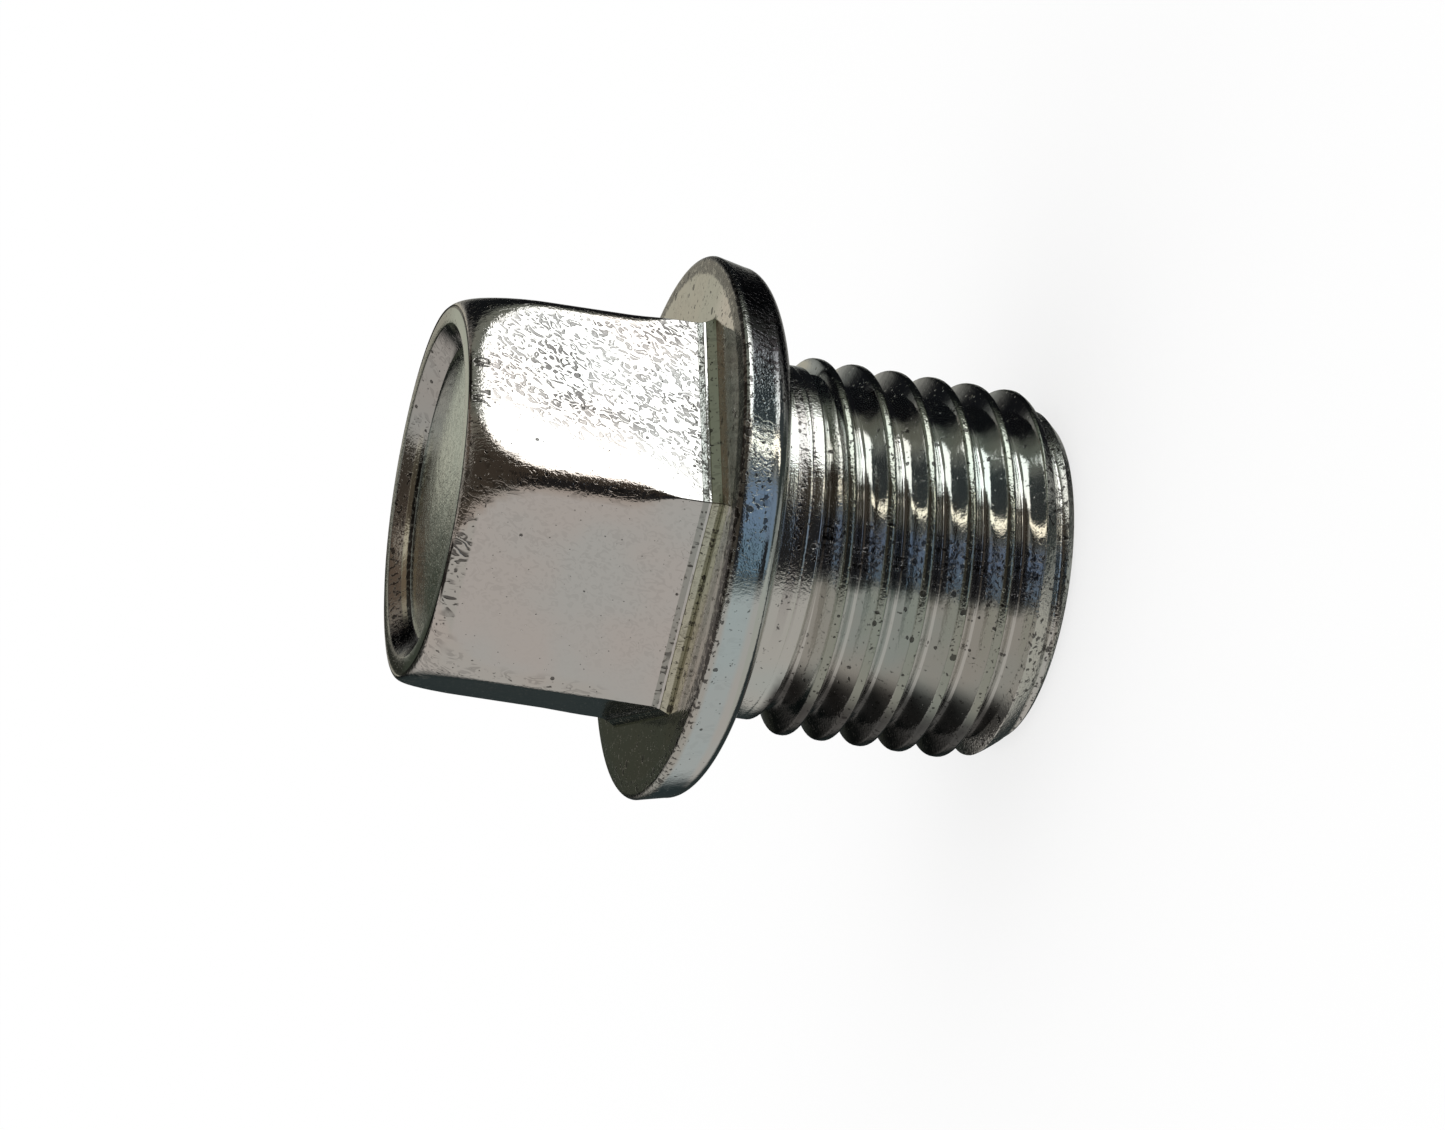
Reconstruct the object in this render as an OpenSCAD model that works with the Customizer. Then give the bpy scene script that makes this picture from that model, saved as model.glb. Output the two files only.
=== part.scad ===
// Drain plug: a hexagon head with a dished top, a round flange and a threaded shank, forged in one piece.
// Z runs up the axis. The seat, the flange's sealing face, is at Z = 0, with the head above it and the thread
// below.

/* [Head] */
// Width across the hexagon's flats where they meet the flange
hex_af = 13.9; // [12:0.1:17]
// Height of the head above the flange
head_h = 8.95; // [6:0.05:12]
// Draft of the flats, in degrees, which narrows the head upwards
head_draft = 0.7; // [0:0.1:2]
// Height of the sharp stretch of the hexagon's edges, above the flange
sharp_h = 1.3; // [0.5:0.1:2]
// Height over which the edges go from sharp to round
round_run = 1.8; // [1:0.1:2.5]
// Radius of the hexagon's edges along the middle of the head
edge_r = 0.9; // [0.3:0.1:2]
// Depth below the top over which the edges turn into the round rim
crown_h = 3; // [1.5:0.1:3.5]
// How far the rim's circle lies inside the flats
rim_inset = 0.1; // [0.05:0.05:0.5]
// Height over which the flats roll over to the rim
roll_h = 0.7; // [0.3:0.1:1.2]
// Height of the foot that flares out under the flats
foot_h = 0.65; // [0.45:0.05:1]
// Height of the steeper bevel at the foot's base
bevel_h = 0.32; // [0.1:0.02:0.4]
// How far the foot flares out at its base
foot_w = 0.22; // [0.1:0.01:0.4]
// How far the foot flares out above the bevel
flare_w = 0.06; // [0.01:0.01:0.09]

/* [Dish] */
// Width of the flat ring round the dish
land_w = 0.65; // [0.4:0.05:2]
// Depth of the dish in the head's top
dish_depth = 0.7; // [0.2:0.1:2]
// How much the dish's wall leans in
dish_lean = 0.7; // [0.1:0.1:1.5]

/* [Flange] */
// Largest diameter of the flange
flange_d = 20.1; // [18:0.1:26]
// Thickness of the flange
flange_t = 2.2; // [1.8:0.1:4]
// Width of the rounded edge on the flange's upper side
brow_w = 0.26; // [0.1:0.02:0.6]
// Height of the rounded edge on the flange's upper side
brow_h = 0.4; // [0.1:0.05:0.6]
// How much the rim's band narrows towards the seat, on the radius
rim_taper = 0.22; // [0:0.02:0.5]
// Height of the rounded edge on the seat's side
belly_h = 0.9; // [0.4:0.1:1]
// Width of the rounded edge on the seat's side
belly_w = 1.7; // [0.6:0.1:2]

/* [Shank] */
// Length of the shank under the seat
shank_len = 11.55; // [8:0.05:20]
// Diameter of the plain neck beside the seat
neck_d = 13.15; // [12.8:0.05:13.4]
// Length of the plain neck
neck_len = 1.7; // [1:0.1:3]
// Radius of the fillet between the seat and the neck
neck_fillet = 0.35; // [0.1:0.05:0.8]

/* [Thread] */
// Diameter over the thread's crests
major_d = 13.95; // [13.6:0.05:15]
// Distance from crest to crest
pitch = 1.5; // [1:0.25:1.75]
// Depth of the thread
thread_depth = 0.95; // [0.6:0.05:1]
// Width of a crest, its rounded shoulders included
crest_w = 0.34; // [0.3:0.01:0.6]
// How far a crest's shoulders drop
crest_drop = 0.04; // [0.02:0.01:0.15]
// Width of the flat at a root
root_w = 0.24; // [0.1:0.01:0.3]
// Height over which the thread dies out into the neck
runout_h = 0.7; // [0.5:0.1:2.5]
// Diameter of the flat end
end_d = 11.9; // [10:0.1:12.4]
// Length of the chamfer between the crests and the flat end
end_run = 1.45; // [0.8:0.05:2]
// Height, on the +X side, of the crest that the helix passes through
crest_z = -2.6; // [-5:0.01:0]

/* [Hidden] */
// Smoothness of the round faces
$fn = 96;
// Steps of the helix in one turn
HELIX_STEPS = 48;
// Steps of the rounding of one hexagon edge, on the head
EDGE_STEPS = 6;
// Steps of the rounding of one hexagon edge, on the foot
FOOT_STEPS = 2;
// Rings over the stretch where the hexagon's edges go round
ROUND_RINGS = 3;
// Rings over the crown
CROWN_RINGS = 8;
// Steps of the small rounded edges on the flange and the neck
BROW_STEPS = 4;
// Steps of the wide rounded edge on the seat's side
BELLY_STEPS = 8;
// Turns of thread built past the end, where the blank cuts them off
SPARE_TURNS = 2;
// Radius of an edge that counts as sharp
SHARP_R = 0.08;
// How much a flat's half width keeps at the rim, where the hexagon is all but round
FLAT_LEFT = 0.1;
// Share of a crest's width that is level
CREST_LEVEL = 0.5;
// How far one solid reaches into the next
BITE = 0.3;
// How far the neck's small end lies inside the thread's core
SUNK = 0.1;
// How far a cut reaches past the face it cuts
PAST = 1;

// Colour of the plated steel
steel = [0.72, 0.72, 0.70];
// Edges of the hexagon, and half the angle from one to the next
hex_corners = 6;
half_corner = 180 / hex_corners;
// Height of the head's top
head_top = flange_t + head_h;
// Radii of the rim, of the dish, of the flange, of the neck, and of the thread's crests, roots and flat end
rim_r = flat_at(head_top) - rim_inset;
dish_r = rim_r - land_w;
flange_r = flange_d / 2;
neck_r = neck_d / 2;
major_r = major_d / 2;
root_r = major_r - thread_depth;
end_r = end_d / 2;

// Distance from the axis to a flat at height z, with the draft taken off
function flat_at(z) = hex_af / 2 - (z - flange_t) * tan(head_draft);

// A value that goes from 0 to 1 while x goes from 0 to 1, with soft ends
function ease(x) = let (t = min(max(x, 0), 1)) t * t * (3 - 2 * t);

// Height of a quarter ellipse, as a share, at a share t of its run
function quarter(t) = sqrt(1 - pow(1 - min(max(t, 0), 1), 2));

// Edge radius of the hexagon at height z below the crown
function body_edge(z) = SHARP_R + (edge_r - SHARP_R) * ease((z - flange_t - sharp_h) / round_run);

// Distance from the axis to a rounded edge, for a flat at distance a and an edge radius r
function edge_reach(a, r) = (a - r) / cos(half_corner) + r;

// Distance from the axis to a flat at height z, rolled over to the rim at the top
function face_at(z) = flat_at(z) - rim_inset * (1 - quarter((head_top - z) / roll_h));

// Edge radius at height z, which grows to the rim's full circle at the top
function edge_at(z) =
    let (a = face_at(z),
         foot = head_top - crown_h,
         low = edge_reach(flat_at(foot), body_edge(foot)),
         reach = rim_r + (low - rim_r) * quarter((head_top - z) / crown_h),
         crown = (a / cos(half_corner) - reach) / (1 / cos(half_corner) - 1))
    z < foot ? body_edge(z) : min(a - FLAT_LEFT, max(crown, SHARP_R));

// Outline of the hexagon with its edges rounded in some steps, and the first edge on the X axis
function hex_ring(a, r, z, steps) =
    let (middle = (a - r) / cos(half_corner))
    [for (k = [0 : hex_corners - 1], i = [0 : steps])
        let (side = 2 * half_corner * k,
             turn = side + half_corner * (2 * i / steps - 1))
        [middle * cos(side) + r * cos(turn), middle * sin(side) + r * sin(turn), z]];

// Faces of a solid through rings that all have n points
function loft_faces(n, rings) = concat(
    [[for (i = [0 : n - 1]) i]],
    [for (j = [0 : rings - 2], i = [0 : n - 1])
        [j * n + i, (j + 1) * n + i, (j + 1) * n + (i + 1) % n, j * n + (i + 1) % n]],
    [[for (i = [n - 1 : -1 : 0]) (rings - 1) * n + i]]);

// Heights of the rings through the head: straight flats, the edges' rounding, then the crown
head_levels = concat(
    [flange_t - BITE, flange_t + sharp_h],
    [for (i = [1 : ROUND_RINGS]) flange_t + sharp_h + round_run * i / ROUND_RINGS],
    [for (i = [0 : CROWN_RINGS]) head_top - crown_h * pow(1 - i / CROWN_RINGS, 2)]);

// The head's outer body, from the flange up to the rim
module head_body() {
    n = hex_corners * (EDGE_STEPS + 1);
    polyhedron([for (z = head_levels) each hex_ring(face_at(z), edge_at(z), z, EDGE_STEPS)],
               loft_faces(n, len(head_levels)));
}

// The foot that flares out from the flats, then goes down to the flange in a steeper bevel
module head_foot() {
    n = hex_corners * (FOOT_STEPS + 1);
    low = flange_t - BITE;
    wide = flat_at(flange_t) + foot_w;
    middle = flange_t + bevel_h;
    high = flange_t + foot_h;
    rings = [hex_ring(wide, SHARP_R, low, FOOT_STEPS),
             hex_ring(wide, SHARP_R, flange_t, FOOT_STEPS),
             hex_ring(flat_at(middle) + flare_w, SHARP_R, middle, FOOT_STEPS),
             hex_ring(flat_at(high), SHARP_R, high, FOOT_STEPS)];
    polyhedron([for (ring = rings) each ring],
               loft_faces(n, len(rings)));
}

// What is taken out of the head's top
module dish() {
    rotate_extrude()
        polygon([[0, head_top - dish_depth],
                 [dish_r - dish_lean, head_top - dish_depth],
                 [dish_r, head_top],
                 [dish_r, head_top + PAST],
                 [0, head_top + PAST]]);
}

// Half section of the flange and neck, round from the axis up the outside
function flange_profile() =
    let (band_r = flange_r - rim_taper)
    concat(
        [[0, -neck_len - runout_h], [root_r - SUNK, -neck_len - runout_h], [neck_r, -neck_len]],
        [for (i = [0 : BROW_STEPS])
            let (a = 90 * i / BROW_STEPS)
            [neck_r + neck_fillet * (1 - cos(a)), neck_fillet * (sin(a) - 1)]],
        [for (i = [0 : BELLY_STEPS])
            let (a = 90 * i / BELLY_STEPS)
            [band_r - belly_w * (1 - sin(a)), belly_h * (1 - cos(a))]],
        [for (i = [0 : BROW_STEPS])
            let (a = 90 * i / BROW_STEPS)
            [flange_r - brow_w * (1 - cos(a)), flange_t - brow_h * (1 - sin(a))]],
        [[0, flange_t]]);

// The flange with its rounded rim, and the plain neck, which narrows to a cone under the thread's first turn
module flange() {
    rotate_extrude() polygon(flange_profile());
}

// Share of the thread's height above its core at height z: none at the neck, all of it past the run-out
function thread_share(z) = ease((-neck_len - z) / runout_h);

// Offsets along one pitch, and radii, of the thread's section: a crest with its shoulders, then a root
function thread_section() =
    let (level = crest_w * CREST_LEVEL / 2,
         shoulder = major_r - crest_drop)
    [[-crest_w / 2, shoulder], [-level, major_r], [level, major_r], [crest_w / 2, shoulder],
     [(pitch - root_w) / 2, root_r], [(pitch + root_w) / 2, root_r]];

// The threaded rod, before its end is chamfered: the section carried up a right-hand helix
module thread_rod() {
    section = thread_section();
    m = len(section);
    low = -shank_len - SPARE_TURNS * pitch;
    base = crest_z - pitch * ceil((crest_z - low) / pitch);
    turns = ceil((-neck_len - base) / pitch);
    n = HELIX_STEPS;
    rows = turns * n;
    points = [for (k = [0 : rows + n], q = [0 : m - 1])
        let (a = 360 * k / n,
             z = base + pitch * k / n + section[q][0],
             r = root_r + (section[q][1] - root_r) * thread_share(z))
        [r * cos(a), r * sin(a), z]];
    skin = [for (k = [0 : rows - 1], q = [0 : m - 1])
        let (up = q < m - 1 ? m * k + q + 1 : m * (k + n),
             up_next = q < m - 1 ? m * (k + 1) + q + 1 : m * (k + 1 + n))
        each [[m * k + q, up, up_next], [m * k + q, up_next, m * (k + 1) + q]]];
    low_cap = concat([for (k = [0 : n]) m * k], [for (q = [m - 1 : -1 : 1]) q]);
    high_cap = concat([for (q = [0 : m - 1]) m * rows + q], [for (k = [n : -1 : 1]) m * (rows + k)]);
    low_mid = len(points);
    high_mid = low_mid + 1;
    polyhedron(concat(points, [[0, 0, base - pitch], [0, 0, base + pitch * (turns + SPARE_TURNS)]]),
               concat(skin,
                      [for (i = [0 : len(low_cap) - 1])
                          [low_cap[i], low_cap[(i + 1) % len(low_cap)], low_mid]],
                      [for (i = [0 : len(high_cap) - 1])
                          [high_cap[i], high_cap[(i + 1) % len(high_cap)], high_mid]]));
}

// The turned blank that the thread is held in: a chamfered end and a flat one inside the neck
module thread_blank() {
    wide = major_r + PAST;
    slope = end_run / (major_r - end_r);
    rotate_extrude()
        polygon([[0, -shank_len],
                 [end_r, -shank_len],
                 [wide, -shank_len + (wide - end_r) * slope],
                 [wide, -neck_len + BITE],
                 [0, -neck_len + BITE]]);
}

module drain_plug() {
    color(steel)
        difference() {
            union() {
                head_body();
                head_foot();
                flange();
                intersection() {
                    thread_rod();
                    thread_blank();
                }
            }
            dish();
        }
}

drain_plug();
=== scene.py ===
"""Dresses the drain plug's CAD frame: one forged and rolled steel plug with a bright zinc coat."""

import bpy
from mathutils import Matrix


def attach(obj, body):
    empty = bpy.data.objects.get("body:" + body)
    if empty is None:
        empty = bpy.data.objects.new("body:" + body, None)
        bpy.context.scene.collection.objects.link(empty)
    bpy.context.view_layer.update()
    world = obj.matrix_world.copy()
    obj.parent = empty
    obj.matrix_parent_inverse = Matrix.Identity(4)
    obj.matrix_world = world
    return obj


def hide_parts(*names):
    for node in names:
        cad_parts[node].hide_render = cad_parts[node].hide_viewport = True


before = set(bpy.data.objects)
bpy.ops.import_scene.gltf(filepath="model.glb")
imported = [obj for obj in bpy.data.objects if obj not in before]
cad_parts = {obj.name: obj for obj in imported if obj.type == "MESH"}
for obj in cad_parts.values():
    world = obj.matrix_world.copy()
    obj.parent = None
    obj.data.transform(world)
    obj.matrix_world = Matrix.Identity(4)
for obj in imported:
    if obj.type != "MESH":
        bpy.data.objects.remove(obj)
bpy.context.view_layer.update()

import logging
import math
from dataclasses import dataclass, field
from enum import Enum
from functools import cached_property, reduce

import bpy
import numpy as np
from mathutils import Euler, Vector

LOG = logging.getLogger("drain_plug")
MM = 0.001
NODE = "drain_plug"
SIXTH = math.radians(60)
COS_30 = math.cos(SIXTH / 2)
SIN_30 = 0.5

# The skin's finish is a table with a row for each point. Its tint columns end with the combing, and its mark
# columns are the mottling, the pits, the streaks and the grain. The last column is the grime: dirt specks
# that are painted shade where zones set it high, and in those zones the tint is painted shade or reflection
# too.
TINT_COLUMNS = slice(0, 4)
MARK_COLUMNS = slice(4, 8)
MOTTLE_COLUMN = 4
GRIME_AND_SHADE_COLUMN = 8

# Where a Mix node keeps its two colours and the mixed one.
MIX_FIRST = 6
MIX_SECOND = 7
MIX_RESULT = 2

Socket = bpy.types.NodeSocket
Value = Socket | float | tuple[float, ...]


def ease(x: np.ndarray) -> np.ndarray:
    """Goes from 0 to 1 while x goes from 0 to 1, with soft ends.

    Args:
        x: Any values.

    Returns:
        The eased values.
    """
    t = np.clip(x, 0.0, 1.0)
    return t * t * (3.0 - 2.0 * t)


def quarter(t: float) -> float:
    """Gives the height of a quarter ellipse, as a share, at a share t of its run."""
    return math.sqrt(1.0 - (1.0 - min(max(t, 0.0), 1.0)) ** 2)


def quarter_turn(parts: int) -> list[float]:
    """Gives the angles, in radians, that cut a quarter turn into even parts, with both ends."""
    return [math.radians(90 * i / parts) for i in range(parts + 1)]


def even_turns(columns: int) -> np.ndarray:
    """Gives evenly spaced angles round the axis, in radians."""
    return np.arange(columns) * (2 * math.pi / columns)


def angle_from(middle: float, angles: np.ndarray) -> np.ndarray:
    """Gives how far angles are from a middle one, the short way round, in degrees."""
    return (angles - middle + 180) % 360 - 180


def plateau(away: np.ndarray, half: float, soft: float) -> np.ndarray:
    """Gives 1 within half a width of the middle, 0 beyond it and an eased step between.

    Args:
        away: Distances from the middle.
        half: Half the width.
        soft: How wide the step is.

    Returns:
        Shares from 0 to 1.
    """
    return ease((half + soft / 2 - np.abs(away)) / soft)


def ring(radii: np.ndarray | float, turns: np.ndarray, heights: np.ndarray | float) -> np.ndarray:
    """Places points round the axis.

    Args:
        radii: Distance of each point from the axis, or of all of them.
        turns: Angle of each point, in radians.
        heights: Height of each point, or of all of them.

    Returns:
        The points, one row each.
    """
    heights = np.broadcast_to(heights, turns.shape)
    return np.column_stack((radii * np.cos(turns), radii * np.sin(turns), heights))


@dataclass(frozen=True)
class Sector:
    """A stretch of the circle round the plug: its middle, half its width and its soft step, in degrees."""

    middle: float
    half: float
    soft: float

    def share(self, turns: np.ndarray) -> np.ndarray:
        """Gives 1 for directions inside the stretch, 0 for those beyond it and an eased step between."""
        return plateau(angle_from(self.middle, np.degrees(turns)), self.half, self.soft)


@dataclass(frozen=True)
class Finish:
    """How the coat looks in one zone of the plug: its tint, and how strong each mark is there. In some zones
    the tint and the grime are painted shade or painted reflection.
    """

    tint: tuple[float, float, float]
    comb: float = 0.0
    mottle: float = 0.0
    pits: float = 0.3
    streaks: float = 0.0
    grain: float = 0.3
    grime_and_shade: float = 0.0

    def row(self) -> np.ndarray:
        """Gives the finish as one row of the skin's table."""
        marks = (self.comb, self.mottle, self.pits, self.streaks, self.grain, self.grime_and_shade)
        return np.array([*self.tint, *marks])


class Zone(Enum):
    """The zones of the plug, each with its own finish. Some zones' tints are painted shade or painted
    reflections, as the comments below say.
    """

    DISH = Finish((0.87, 0.98, 0.93), mottle=0.3, pits=0.5, grain=0.4, grime_and_shade=0.28)
    # Painted shade: a dark tint on the dish's fillet border, on one side only.
    DISH_EDGE = Finish((0.45, 0.47, 0.43), pits=0.8, grain=0.8, grime_and_shade=0.6)
    WALL = Finish((0.8, 0.8, 0.79), comb=0.3, pits=0.8, grain=0.5, grime_and_shade=0.3)
    # Painted shade: a darker, browner lower wall on that side of the dish.
    WALL_LOW = Finish((0.9, 0.81, 0.73), comb=0.1, pits=1.0, grain=1.2, grime_and_shade=0.42)
    # Painted reflection: a lighter tan strip on the same side of the dish's wall.
    WALL_TAN = Finish((1.3, 1.2, 0.98), comb=0.3, pits=0.5, grain=0.5, grime_and_shade=0.26)
    RIM = Finish((0.72, 0.85, 0.81), pits=0.6, grain=0.6, grime_and_shade=0.28)
    # Painted shade: a darker tint on the land's far side.
    RIM_FAR = Finish((0.44, 0.45, 0.43), pits=0.8, grain=1.0, grime_and_shade=0.38)
    # Painted shade: a near-black tint on the rim's edge and the crown's top edge, standing in for the dark
    # reflection there.
    EDGE = Finish((0.07, 0.065, 0.06), pits=0.3, grain=0.6, grime_and_shade=0.45)
    # Painted shade: a near-black patch on one side of the dish's wall and land.
    SPOT = Finish((0.015, 0.015, 0.015), pits=0.6, grain=0.6, grime_and_shade=0.5)
    CROWN = Finish((0.92, 0.93, 0.91), comb=1.3, pits=0.8, grain=0.8, grime_and_shade=0.33)
    FLAT = Finish((1.0, 0.985, 0.98), mottle=1.0, pits=0.6, grain=0.15)
    CORNER = Finish((1.0, 0.96, 0.93), comb=0.4, pits=0.8, grain=1.5, grime_and_shade=0.33)
    # Painted shade: a darker, browner tint on the hexagon's round edges on one side.
    CORNER_DARK = Finish((0.84, 0.77, 0.72), comb=0.6, pits=0.9, grain=1.8, grime_and_shade=0.36)
    FLARE = Finish((0.66, 0.68, 0.66), comb=1.0, mottle=0.2, pits=0.4, grain=0.9, grime_and_shade=0.36)
    LIP = Finish((1.0, 1.0, 1.0), pits=0.2, grain=0.2)
    BEVEL = Finish((0.94, 0.95, 0.8), comb=0.3, pits=1.1, grain=0.5, grime_and_shade=0.34)
    # Painted shade: a dark olive tint in the foot's thin grooves and in its crease with the flange.
    GROOVE = Finish((0.42, 0.42, 0.3), pits=1.6, grain=1.2, grime_and_shade=0.42)
    FLANGE = Finish((0.9, 0.87, 0.8), comb=0.2, pits=1.4, grain=0.35, grime_and_shade=0.3)
    # Painted reflection: a lighter, warmer tint on the flange's face on the near side.
    FLANGE_NEAR = Finish((1.22, 1.11, 1.06), comb=0.2, pits=1.4, grain=0.5, grime_and_shade=0.33)
    # Painted shade: the brow's dark tint. Its outer edge and its bottom side are left lighter.
    BROW = Finish((0.5, 0.47, 0.44), pits=1.6, grain=1.6, grime_and_shade=0.56)
    BROW_EDGE = Finish((0.9, 0.9, 0.88), pits=1.4, grain=1.4, grime_and_shade=0.42)
    BROW_LOW = Finish((0.82, 0.83, 0.79), pits=1.6, grain=1.6, grime_and_shade=0.4)
    BAND = Finish((0.87, 1.01, 1.06), comb=0.1, pits=0.8, grain=0.6, grime_and_shade=0.29)
    # Painted shade: a near-black tint on the band and the belly on the top side.
    BAND_TOP = Finish((0.15, 0.145, 0.16), comb=0.2, pits=1.6, streaks=0.7, grain=0.9, grime_and_shade=0.46)
    # Painted reflection: a bluish, mottled tint on one side of the band.
    BAND_SIDE = Finish((0.88, 0.98, 1.04), comb=0.6, pits=1.3, streaks=0.6, grain=1.2, grime_and_shade=0.42)
    BELLY = Finish((0.93, 0.97, 0.97), pits=0.6, grain=0.5, grime_and_shade=0.26)
    SEAT = Finish((0.98, 0.98, 0.96), pits=0.3, streaks=0.8, grain=0.3)
    NECK = Finish((0.95, 0.99, 0.97), pits=0.6, streaks=0.6, grain=1.5, grime_and_shade=0.3)
    # Rolling marks in the neck's shallow grooves, darkened with painted shade on one side only.
    ROLLED_AND_SHADED = Finish((0.7, 0.7, 0.7), pits=0.7, streaks=0.8, grain=2.2, grime_and_shade=0.42)
    THREAD = Finish((0.93, 0.95, 0.93), pits=0.9, streaks=0.22, grain=0.28, grime_and_shade=0.28)
    # Painted reflection: a bluish, mottled tint on one side of the thread.
    THREAD_SIDE = Finish((0.88, 0.92, 0.97), pits=1.5, streaks=0.3, grain=0.7, grime_and_shade=0.42)
    CREST = Finish((0.6, 0.65, 0.59), pits=1.4, streaks=0.3, grain=1.6, grime_and_shade=0.35)
    # Painted shade: a near-black tint on the thread's bottom side.
    THREAD_LOW = Finish((0.12, 0.12, 0.12), pits=1.2, streaks=0.45, grain=0.9, grime_and_shade=0.34)
    CHAMFER = Finish((0.96, 0.98, 0.96), pits=1.3, streaks=0.4, grain=2.0, grime_and_shade=0.4)
    END = Finish((0.97, 0.97, 0.95), pits=0.6, streaks=0.5, grain=0.6)


@dataclass(frozen=True)
class Dress:
    """What a ring wears: its zone, a share of the zone's mottling, and zones blended in by direction. Most of
    these blends are painted shade or painted reflections on one side of the plug.
    """

    zone: Zone
    mottle: np.ndarray | float = 1.0
    blends: tuple[tuple[Zone, np.ndarray], ...] = ()

    def rows(self, count: int) -> np.ndarray:
        """Gives the finish of each point of the ring.

        Args:
            count: How many points the ring has.

        Returns:
            One row of numbers for each point.
        """
        made = np.tile(self.zone.value.row(), (count, 1))
        made[:, MOTTLE_COLUMN] *= self.mottle
        for zone, share in self.blends:
            made = made + (zone.value.row() - made) * share[:, None]
        return made


class Skin:
    """A closed mesh that grows ring by ring, from the middle of the top to the middle of the bottom."""

    def __init__(self) -> None:
        """Starts with nothing built."""
        self.points: list[np.ndarray] = []
        self.finishes: list[np.ndarray] = []
        self.faces: list[tuple[int, ...]] = []
        self.count = 0
        self.last: np.ndarray | None = None
        self.last_turns: np.ndarray | None = None

    def _place(self, points: np.ndarray, dress: Dress) -> np.ndarray:
        """Keeps some points with their finish.

        Args:
            points: The points, one row each.
            dress: What they wear.

        Returns:
            Their numbers in the mesh.
        """
        first = self.count
        self.points.append(points)
        self.finishes.append(dress.rows(len(points)))
        self.count += len(points)
        return np.arange(first, self.count)

    def pole(self, height: float, zone: Zone) -> None:
        """Starts or ends the skin with one point on the axis.

        Args:
            height: Height of the point, in mm.
            zone: The zone that the point lies in.
        """
        tip = self._place(np.array([[0.0, 0.0, height]]), Dress(zone))
        if self.last is None:
            self.last = tip
            return
        after = np.roll(self.last, -1)
        self.faces.extend((b, a, int(tip[0])) for a, b in zip(self.last.tolist(), after.tolist()))

    def add(self, points: np.ndarray, turns: np.ndarray, dress: Dress | Zone) -> None:
        """Adds the next ring below or outside the last one.

        Args:
            points: The ring's points, counter-clockwise seen from above.
            turns: The angle of each point, in radians, rising from 0.
            dress: What the ring wears, or just its zone.
        """
        new = self._place(points, dress if isinstance(dress, Dress) else Dress(dress))
        old = self.last
        after, old_after = np.roll(new, -1), np.roll(old, -1)
        if len(old) == 1:
            self.faces.extend((int(old[0]), b, c) for b, c in zip(new.tolist(), after.tolist()))
        elif len(old) == len(new):
            for a, b, c, d in zip(old.tolist(), new.tolist(), after.tolist(), old_after.tolist()):
                self.faces.extend(((a, b, d), (b, c, d)))
        else:
            self._stitch(self.last_turns, new, turns)
        self.last, self.last_turns = new, turns

    def _stitch(self, old_turns: np.ndarray, new: np.ndarray, new_turns: np.ndarray) -> None:
        """Joins the last ring to one with another number of points, on a flat face.

        Args:
            old_turns: The angle of each point of the last ring, in radians.
            new: The numbers of the new ring's points.
            new_turns: The angle of each of them, in radians.
        """
        i, j = 0, 0
        n, m = len(self.last), len(new)
        while i < n or j < m:
            next_old = old_turns[i + 1] if i + 1 < n else 2 * math.pi + old_turns[0]
            next_new = new_turns[j + 1] if j + 1 < m else 2 * math.pi + new_turns[0]
            a, b = int(self.last[i % n]), int(new[j % m])
            if j >= m or (i < n and next_old < next_new):
                self.faces.append((a, b, int(self.last[(i + 1) % n])))
                i += 1
            else:
                self.faces.append((a, b, int(new[(j + 1) % m])))
                j += 1

    def mesh(self, name: str, sharp: float) -> bpy.types.Mesh:
        """Makes the Blender mesh.

        Args:
            name: The mesh's name.
            sharp: Angle between faces from which an edge is drawn sharp, in degrees.

        Returns:
            The mesh, in metres.
        """
        made = bpy.data.meshes.new(name)
        made.from_pydata((np.concatenate(self.points) * MM).tolist(), [], self.faces)
        made.validate()
        made.shade_smooth()
        made.set_sharp_from_angle(angle=math.radians(sharp))
        rows = np.concatenate(self.finishes)
        for attribute, columns in (("coat_tint", TINT_COLUMNS), ("coat_marks", MARK_COLUMNS)):
            values = made.attributes.new(attribute, "FLOAT_COLOR", "POINT")
            values.data.foreach_set("color", rows[:, columns].ravel())
        grime_and_shade = made.attributes.new("coat_grime_and_shade", "FLOAT", "POINT")
        grime_and_shade.data.foreach_set("value", rows[:, GRIME_AND_SHADE_COLUMN].copy())
        return made


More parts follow.
